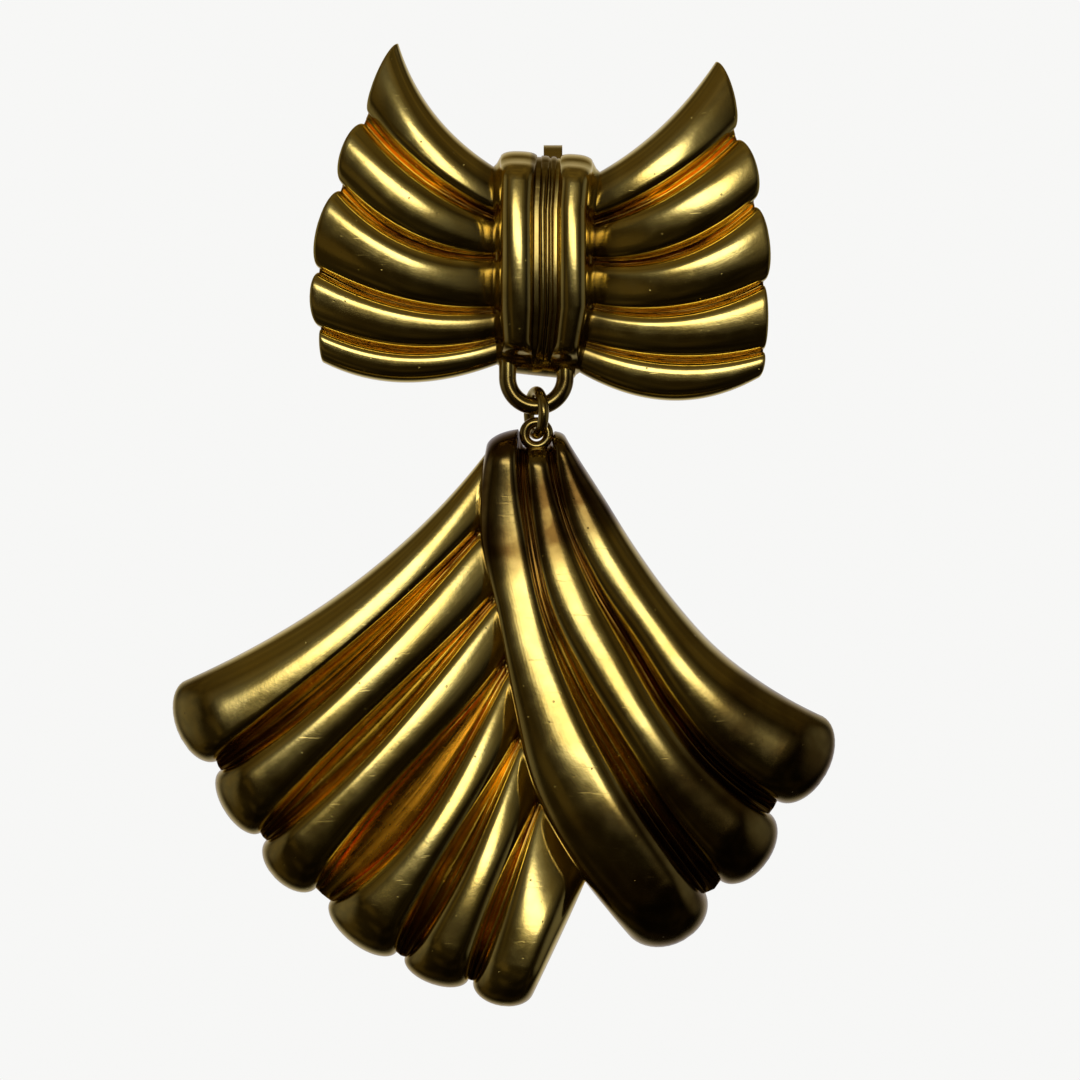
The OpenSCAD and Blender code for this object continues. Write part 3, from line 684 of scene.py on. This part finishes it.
def ring_mesh(name, middle, radius, wire, start, sweep, leg=0.0):
    """A ring of round wire that lies across the front view, with straight legs up where it isn't whole.
    start and sweep are in degrees from +X towards +Z; lengths are in millimetres."""
    whole = sweep >= 360
    stations = []
    for i in range(RING_STEPS if whole else RING_STEPS + 1):
        a = math.radians(start + sweep * i / RING_STEPS)
        outward = Vector((math.cos(a), 0, math.sin(a)))
        stations.append((radius * outward, outward))
    if leg:
        stations.insert(0, (stations[0][0] + Vector((0, 0, leg)), stations[0][1]))
        stations.append((stations[-1][0] + Vector((0, 0, leg)), stations[-1][1]))
    bm = bmesh.new()
    rings = []
    for centre, out in stations:
        ring = []
        for k in range(WIRE_STEPS):
            b = 2 * math.pi * k / WIRE_STEPS
            p = Vector(middle) + centre + wire / 2 * (math.cos(b) * out + math.sin(b) * Vector((0, 1, 0)))
            ring.append(bm.verts.new(p * MM))
        rings.append(ring)
    following = rings[1:] + rings[:1] if whole else rings[1:]
    for a, b in zip(rings, following):
        for k in range(WIRE_STEPS):
            bm.faces.new((a[k], a[(k + 1) % WIRE_STEPS], b[(k + 1) % WIRE_STEPS], b[k]))
    if not whole:
        bm.faces.new(list(reversed(rings[0])))
        bm.faces.new(rings[-1])
    bmesh.ops.recalc_face_normals(bm, faces=bm.faces)
    mesh = bpy.data.meshes.new(name)
    bm.to_mesh(mesh)
    bm.free()
    add_values(mesh, "tarnish_and_shade", np.full(len(mesh.vertices), RING_TARNISH))
    return mesh


def add_object(name, mesh):
    obj = bpy.data.objects.new(name, mesh)
    bpy.context.scene.collection.objects.link(obj)
    return obj


def solder(base, part_mesh):
    """Joins a ring to a casting as one skin, as solder would."""
    part = add_object(part_mesh.name, part_mesh)
    join = base.modifiers.new("Solder", "BOOLEAN")
    join.operation = "UNION"
    join.solver = "MANIFOLD"
    join.object = part
    graph = bpy.context.evaluated_depsgraph_get()
    mesh = bpy.data.meshes.new_from_object(base.evaluated_get(graph))
    base.modifiers.clear()
    base.data = mesh
    bpy.data.objects.remove(part)


def finish_surface(obj, material, angle):
    """Gives a piece its material and smooth shading that breaks at edges sharper than the angle."""
    mesh = obj.data
    mesh.materials.clear()
    mesh.materials.append(material)
    mesh.shade_smooth()
    mesh.set_sharp_from_angle(angle=math.radians(angle))


class NodeSheet:
    """A small helper that adds nodes from left to right and links them. What goes into a node is a number,
    a colour or another node's output."""

    def __init__(self, tree):
        self.tree = tree
        tree.nodes.clear()
        self.count = 0

    def add(self, kind, values=None, **settings):
        node = self.tree.nodes.new(kind)
        node.location = (NODE_WIDE * (self.count % NODES_IN_ROW), -NODE_HIGH * (self.count // NODES_IN_ROW))
        self.count += 1
        for key, value in settings.items():
            setattr(node, key, value)
        for key, value in (values or {}).items():
            if isinstance(value, bpy.types.NodeSocket):
                self.tree.links.new(value, node.inputs[key])
            else:
                node.inputs[key].default_value = value
        return node

    def maths(self, operation, a, b=0.0):
        return self.add("ShaderNodeMath", {0: a, 1: b}, operation=operation).outputs[0]

    def plus(self, a, b):
        return self.maths("ADD", a, b)

    def times(self, a, b):
        return self.maths("MULTIPLY", a, b)

    def noise(self, place, scale, detail):
        values = {"Vector": place, "Scale": scale, "Detail": detail}
        return self.add("ShaderNodeTexNoise", values).outputs["Fac"]

    def stretch(self, place, scale, turn=(0, 0, 0)):
        values = {"Vector": place, "Rotation": turn, "Scale": scale}
        return self.add("ShaderNodeMapping", values).outputs[0]

    def stored(self, name):
        """A value that the mesh holds for each of its points."""
        return self.add("ShaderNodeAttribute", attribute_name=name)

    def ramp(self, source, low, high, to_low, to_high):
        """A smooth step of source from low to high, mapped to the given ends."""
        values = {0: source, 1: low, 2: high, 3: to_low, 4: to_high}
        return self.add("ShaderNodeMapRange", values, interpolation_type="SMOOTHSTEP").outputs[0]

    def blend(self, factor, a, b):
        """Colour a where the factor is 0, and colour b where it is 1 or more."""
        return self.add("ShaderNodeMix", {0: factor, 6: a, 7: b}, data_type="RGBA").outputs[2]


def new_material(name):
    """A new material, the sheet of its nodes, and the place on the piece."""
    material = bpy.data.materials.new(name)
    material.use_nodes = True
    sheet = NodeSheet(material.node_tree)
    return material, sheet, sheet.add("ShaderNodeTexCoord").outputs["Object"]


def painted_grooves_and_lines(sheet, colours, tone, rough, height):
    """The gold's colour, roughness and height on a casting, with fine lines along its ribs, and grooves that
    are less polished, streaked, and painted with the brown of painted shade or the amber of a painted
    reflection."""
    groove = sheet.stored("groove").outputs["Fac"]
    lane = sheet.stored("lane").outputs["Vector"]
    streak = sheet.noise(sheet.stretch(lane, LANE_SCALE), 1.0, 3.0)
    # Painted shade and painted reflection: the groove floors take the brown of shade or the amber of light
    # bounced off the ribs
    floor = sheet.ramp(groove, 0.1, 0.5, 0.0, 1.0)
    amount = sheet.add("ShaderNodeSeparateXYZ", {0: lane}).outputs[2]
    warm = sheet.times(amount, sheet.ramp(streak, 0.35, 0.65, 1.2, 0.75))
    deep = sheet.ramp(amount, 1.0, DEEP_PAINTED_AMBER, 0.0, 1.0)
    amber = sheet.blend(deep, (*colours.amber, 1), (*colours.deep, 1))
    tone = sheet.blend(floor, tone, sheet.blend(warm, (*colours.brown, 1), amber))
    satin = sheet.plus(GROOVE_DULL, sheet.times(warm, AMBER_DULL))
    rough = sheet.plus(rough, sheet.times(floor, satin))
    on_front = sheet.ramp(groove, BACK_MARK + 0.1, -0.1, 0.0, RIB_LINES)
    lines = sheet.times(sheet.plus(on_front, sheet.times(floor, GROOVE_LINES)), streak)
    return tone, rough, sheet.plus(height, lines)


def gold_finish(name, colours, polish, dull=None):
    """Polished gold plate with faint scratches, pits, toning and a darker tone. dull is how tarnished it is
    all over. Without it, it is a casting's gold: the mesh says where painted shade darkens it, and its
    grooves take painted shade and painted amber reflection."""
    material, sheet, place = new_material(name)
    cloud = sheet.noise(place, CLOUD_SCALE, 3.0)
    haze = sheet.noise(place, HAZE_SCALE, 4.0)
    grain = sheet.noise(place, GRAIN_SCALE, 3.0)
    stretched = sheet.noise(sheet.stretch(place, SCRATCH_SCALE, SCRATCH_TURN), 1.0, 2.0)
    scratch = sheet.ramp(stretched, 0.68, 0.74, 0.0, 1.0)
    speck = sheet.add("ShaderNodeTexVoronoi", {"Vector": place, "Scale": PIT_SCALE}).outputs["Distance"]
    pit = sheet.ramp(speck, 0.03, 0.08, 1.0, 0.0)
    tone = sheet.blend(sheet.ramp(cloud, 0.35, 0.65, 0.0, 1.0), (*colours.plate, 1), (*colours.toned, 1))
    rough = sheet.ramp(haze, 0.3, 0.7, polish - HAZE_SHINE, polish + HAZE_DULL)
    rough = sheet.plus(rough, sheet.times(scratch, MARK_DULL))
    marks = sheet.plus(sheet.times(scratch, -SCRATCH_DEPTH), sheet.times(pit, -PIT_DEPTH))
    height = sheet.plus(sheet.times(haze, HAZE_HEIGHT), marks)
    height = sheet.plus(height, sheet.times(grain, GRAIN_HEIGHT))
    if dull is None:
        tone, rough, height = painted_grooves_and_lines(sheet, colours, tone, rough, height)
        # On a casting, the stored value is painted shade: patches darkened where the gold would show dark
        # reflections
        dull = sheet.stored("tarnish_and_shade").outputs["Fac"]
    tarnish_and_shade = sheet.times(sheet.ramp(cloud, 0.3, 0.7, 0.7, 1.15), dull)
    tone = sheet.blend(tarnish_and_shade, tone, (*colours.tarnish_and_shade, 1))
    rough = sheet.plus(rough, sheet.times(tarnish_and_shade, MARK_DULL))
    bump = sheet.add("ShaderNodeBump", {"Height": height, "Strength": 0.5, "Distance": BUMP * MM})
    shader = sheet.add("ShaderNodeBsdfPrincipled", {"Base Color": tone, "Roughness": rough,
                                                    "Normal": bump.outputs[0], "Metallic": 1.0})
    sheet.add("ShaderNodeOutputMaterial", {"Surface": shader.outputs[0]})
    return material


def pale_finish(name, colour):
    """The studio floor, lit as evenly as the backdrop, with a very faint mottle."""
    material, sheet, place = new_material(name)
    darker = tuple(MOTTLE_SHADE * c for c in colour)
    tone = sheet.blend(sheet.noise(place, MOTTLE_SCALE, 2.0), (*colour, 1), (*darker, 1))
    shader = sheet.add("ShaderNodeEmission", {"Color": tone, "Strength": 1.0})
    sheet.add("ShaderNodeOutputMaterial", {"Surface": shader.outputs[0]})
    return material


def softbox(sheet, x, z, middle, half, turn, strength):
    """How bright an oval soft light is in the direction (x, z) from the brooch. Its half sizes are turned by
    an angle in degrees, and it fades out towards its edge."""
    c, s = math.cos(math.radians(turn)), math.sin(math.radians(turn))
    off_x = sheet.maths("SUBTRACT", x, middle[0])
    off_z = sheet.maths("SUBTRACT", z, middle[1])
    long = sheet.plus(sheet.times(off_x, c / half[0]), sheet.times(off_z, s / half[0]))
    wide = sheet.plus(sheet.times(off_x, -s / half[1]), sheet.times(off_z, c / half[1]))
    span = sheet.plus(sheet.times(long, long), sheet.times(wide, wide))
    return sheet.ramp(span, SOFTBOX_CORE, 1.0, strength, 0.0)


class BroochColours(PropertyGroup):
    plate: FloatVectorProperty(
        name="Gold plate", description="Colour of the polished gold", subtype="COLOR",
        default=(0.97, 0.75, 0.21), min=0, max=1)
    toned: FloatVectorProperty(
        name="Toned gold", description="Colour of the gold where it has toned", subtype="COLOR",
        default=(0.93, 0.68, 0.16), min=0, max=1)
    # Painted reflection: amber standing for light bounced between the ribs into the grooves
    amber: FloatVectorProperty(
        name="Amber groove", description="Colour of the amber parts of the grooves", subtype="COLOR",
        default=(1.0, 0.58, 0.045), min=0, max=1)
    # Painted reflection: the deepest amber of that bounced light
    deep: FloatVectorProperty(
        name="Deep amber groove", description="Colour of the groove toned deepest", subtype="COLOR",
        default=(1.0, 0.42, 0.02), min=0, max=1)
    # Painted shade: the brown that darkens the groove floors
    brown: FloatVectorProperty(
        name="Brown groove", description="Colour of the grooves elsewhere", subtype="COLOR",
        default=(0.42, 0.22, 0.03), min=0, max=1)
    # Painted shade on the castings' dark patches, and the tarnish of the rings and the clip
    tarnish_and_shade: FloatVectorProperty(
        name="Tarnish", description="Colour of the tarnished gold", subtype="COLOR",
        default=(0.15, 0.08, 0.016), min=0, max=1)
    backdrop: FloatVectorProperty(
        name="Backdrop", description="Colour of the pale backdrop and floor", subtype="COLOR",
        default=(0.93, 0.93, 0.92), min=0, max=1)


class BroochSizes(PropertyGroup):
    polish: FloatProperty(
        name="Polish", description="Roughness of the polished gold", default=0.12, min=0.02, max=0.5)
    clip_edge: FloatProperty(
        name="Clip edge", description="Radius of the clip's worn edges", default=0.12 * MM, min=0,
        max=0.3 * MM, unit="LENGTH")
    camera_distance: FloatProperty(
        name="Camera distance", description="Distance from the castings' backs to the camera", default=0.6,
        min=0.3, max=2, unit="LENGTH")
    floor_drop: FloatProperty(
        name="Floor drop", description="How far below the brooch the floor lies", default=0.7, min=0.2,
        max=2, unit="LENGTH")


def gild(context, casting, name):
    """Gives a casting its gold."""
    gold = gold_finish(name, context.scene.brooch_colours, context.scene.brooch.polish)
    finish_surface(casting, gold, SHARP)


class BROOCH_OT_bow(Operator):
    """Build the bow: two pleated wings, the knot and the hanger under it"""
    bl_idname = "brooch.bow"
    bl_label = "Build the Bow"

    def execute(self, context):
        mesh = casting_mesh("pleated_bow", bow_sheet(), KNOT_PAD, BOW_PAINTED_AMBER, BOW_PAINTED_SHADE)
        bow = add_object("pleated_bow", mesh)
        middle = (RING_X, BACK_Y - RING_H, HANGER_Z)
        hanger = ring_mesh("hanger", middle, HANGER_R, HANGER_WIRE, start=180, sweep=180, leg=HANGER_LEG)
        solder(bow, hanger)
        gild(context, bow, "Bow Gold")
        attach(bow, "brooch")
        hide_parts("bow")
        return {"FINISHED"}


class BROOCH_OT_drop(Operator):
    """Build the fan drop: the under fan, the over fan across it and the eyelet"""
    bl_idname = "brooch.drop"
    bl_label = "Build the Fan Drop"

    def execute(self, context):
        mesh = casting_mesh("fan_drop", drop_sheet(), NO_PAD, DROP_PAINTED_AMBER, DROP_PAINTED_SHADE)
        drop = add_object("fan_drop", mesh)
        middle = (RING_X, BACK_Y - RING_H, EYELET_Z)
        solder(drop, ring_mesh("eyelet", middle, EYELET_R, EYELET_WIRE, start=0, sweep=360))
        gild(context, drop, "Fan Gold")
        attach(drop, "fan_drop")
        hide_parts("drop")
        return {"FINISHED"}


class BROOCH_OT_fittings(Operator):
    """Finish the jump ring and the spring clip"""
    bl_idname = "brooch.fittings"
    bl_label = "Finish the Fittings"

    def execute(self, context):
        colours, sizes = context.scene.brooch_colours, context.scene.brooch
        gold = gold_finish("Ring Gold", colours, sizes.polish + LINK_ROUGHER, LINK_TARNISH)
        finish_surface(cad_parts["link"], gold, RING_SHARP)
        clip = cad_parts["clip"]
        gold = gold_finish("Clip Gold", colours, sizes.polish + CLIP_ROUGHER, CLIP_TARNISH)
        finish_surface(clip, gold, SHARP)
        edge = clip.modifiers.new("Worn Edge", "BEVEL")
        edge.width = sizes.clip_edge
        edge.segments = 3
        edge.limit_method = "ANGLE"
        edge.angle_limit = math.radians(SHARP)
        return {"FINISHED"}


class BROOCH_OT_stage(Operator):
    """Set up the pale floor, the studio light and the camera"""
    bl_idname = "brooch.stage"
    bl_label = "Build the Stage"

    # The photograph's middle and the width of its frame at the castings, in millimetres
    VIEW_X = -0.375
    VIEW_Z = -20.25
    VIEW_WIDE = 81.0
    # How far the floor reaches from the middle to each side, in metres
    FLOOR_REACH = 6.0
    # The soft light in front of the brooch, a bright core in two faint halos: the middle of each, as the
    # x and z of its direction, its half sizes and its strength. One turn goes for all.
    SOFTBOXES = [
        ((0.04, 0.24), (0.80, 0.45), 0.05),
        ((0.02, 0.21), (0.52, 0.30), 0.13),
        ((0.02, 0.19), (0.35, 0.175), 2.2)]
    SOFTBOX_TURN = -25
    LAMP_COLOUR = (1.0, 1.0, 1.12, 1)
    # Strengths of the light from behind and from the two sides
    BEHIND = 0.5
    SIDES = 0.10
    # The dim room: its colour, its strength in the darkest and the lightest patches, the noise scale of
    # the patches, what is left of it high on the left and low on the right, and what is added from above
    ROOM_COLOUR = (1.0, 0.76, 0.36, 1)
    ROOM = (0.016, 0.05)
    ROOM_SCALE = 2.4
    ROOM_SLOPE = (1.1, 0.25)
    ABOVE = 0.05

    def execute(self, context):
        colours, sizes = context.scene.brooch_colours, context.scene.brooch
        self.floor(colours, sizes)
        self.studio(context, colours)
        self.camera(context, sizes)
        return {"FINISHED"}

    def floor(self, colours, sizes):
        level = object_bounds()[0].z - sizes.floor_drop
        mesh = bpy.data.meshes.new("floor")
        corners = [(x * self.FLOOR_REACH, y * self.FLOOR_REACH, level)
                   for x, y in ((-1, -1), (1, -1), (1, 1), (-1, 1))]
        mesh.from_pydata(corners, [], [(0, 1, 2, 3)])
        mesh.materials.append(pale_finish("Pale Floor", colours.backdrop))
        floor = add_object("floor", mesh)
        floor.visible_glossy = False
        floor.visible_diffuse = False
        floor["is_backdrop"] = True

    def studio(self, context, colours):
        world = bpy.data.worlds.new("Studio")
        context.scene.world = world
        world.use_nodes = True
        sheet = NodeSheet(world.node_tree)
        way = sheet.add("ShaderNodeTexCoord").outputs["Generated"]
        split = sheet.add("ShaderNodeSeparateXYZ", {0: way})
        x, y, z = split.outputs[0], split.outputs[1], split.outputs[2]
        lamp = 0.0
        for middle, half, strength in self.SOFTBOXES:
            lamp = sheet.plus(softbox(sheet, x, z, middle, half, self.SOFTBOX_TURN, strength), lamp)
        front = sheet.ramp(y, -0.2, 0.0, 1.0, 0.0)
        behind = sheet.ramp(y, 0.45, 0.97, 0.0, self.BEHIND)
        sides = sheet.ramp(sheet.maths("ABSOLUTE", x), 0.75, 0.98, 0.0, self.SIDES)
        white = sheet.plus(sheet.times(lamp, front), sheet.plus(behind, sides))
        patches = sheet.ramp(sheet.noise(way, self.ROOM_SCALE, 2.0), 0.40, 0.70, *self.ROOM)
        slope = sheet.ramp(sheet.maths("SUBTRACT", x, z), -0.2, 0.9, *self.ROOM_SLOPE)
        above = sheet.ramp(z, 0.35, 0.95, 0.0, self.ABOVE)
        dim = sheet.plus(sheet.times(patches, slope), above)
        lamps = sheet.add("ShaderNodeBackground", {"Color": self.LAMP_COLOUR, "Strength": white})
        walls = sheet.add("ShaderNodeBackground", {"Color": self.ROOM_COLOUR, "Strength": dim})
        studio = sheet.add("ShaderNodeAddShader", {0: lamps.outputs[0], 1: walls.outputs[0]})
        backdrop = sheet.add("ShaderNodeBackground", {"Color": (*colours.backdrop, 1), "Strength": 1.0})
        seen = sheet.add("ShaderNodeLightPath").outputs["Is Camera Ray"]
        both = sheet.add("ShaderNodeMixShader", {0: seen, 1: studio.outputs[0], 2: backdrop.outputs[0]})
        sheet.add("ShaderNodeOutputWorld", {"Surface": both.outputs[0]})
        context.scene.view_settings.view_transform = "Standard"

    def camera(self, context, sizes):
        data = bpy.data.cameras.new("Camera")
        data.sensor_width = 36.0
        data.lens = sizes.camera_distance * data.sensor_width / (self.VIEW_WIDE * MM)
        camera = bpy.data.objects.new("Camera", data)
        context.scene.collection.objects.link(camera)
        camera.location = (self.VIEW_X * MM, BACK_Y * MM - sizes.camera_distance, self.VIEW_Z * MM)
        camera.rotation_euler = (math.radians(90), 0, 0)
        context.scene.camera = camera


class VIEW3D_PT_brooch(Panel):
    """The brooch's sizes, colours and build steps"""
    bl_label = "Pleated Bow Brooch"
    bl_idname = "VIEW3D_PT_brooch"
    bl_space_type = "VIEW_3D"
    bl_region_type = "UI"
    bl_category = "Brooch"

    def draw(self, context):
        layout = self.layout
        for group in (context.scene.brooch, context.scene.brooch_colours):
            box = layout.box()
            for name in group.bl_rna.properties.keys():
                if name not in ("rna_type", "name"):
                    box.prop(group, name)
        for operator in STEPS:
            layout.operator(operator.bl_idname)


STEPS = (BROOCH_OT_bow, BROOCH_OT_drop, BROOCH_OT_fittings, BROOCH_OT_stage)
CLASSES = (BroochColours, BroochSizes, *STEPS, VIEW3D_PT_brooch)


def register():
    for cls in CLASSES:
        bpy.utils.register_class(cls)
    bpy.types.Scene.brooch = PointerProperty(type=BroochSizes)
    bpy.types.Scene.brooch_colours = PointerProperty(type=BroochColours)


def unregister():
    del bpy.types.Scene.brooch_colours
    del bpy.types.Scene.brooch
    for cls in reversed(CLASSES):
        bpy.utils.unregister_class(cls)


def main():
    register()
    bpy.ops.brooch.bow()
    bpy.ops.brooch.drop()
    bpy.ops.brooch.fittings()
    bpy.ops.brooch.stage()


if __name__ == "__main__":
    main()
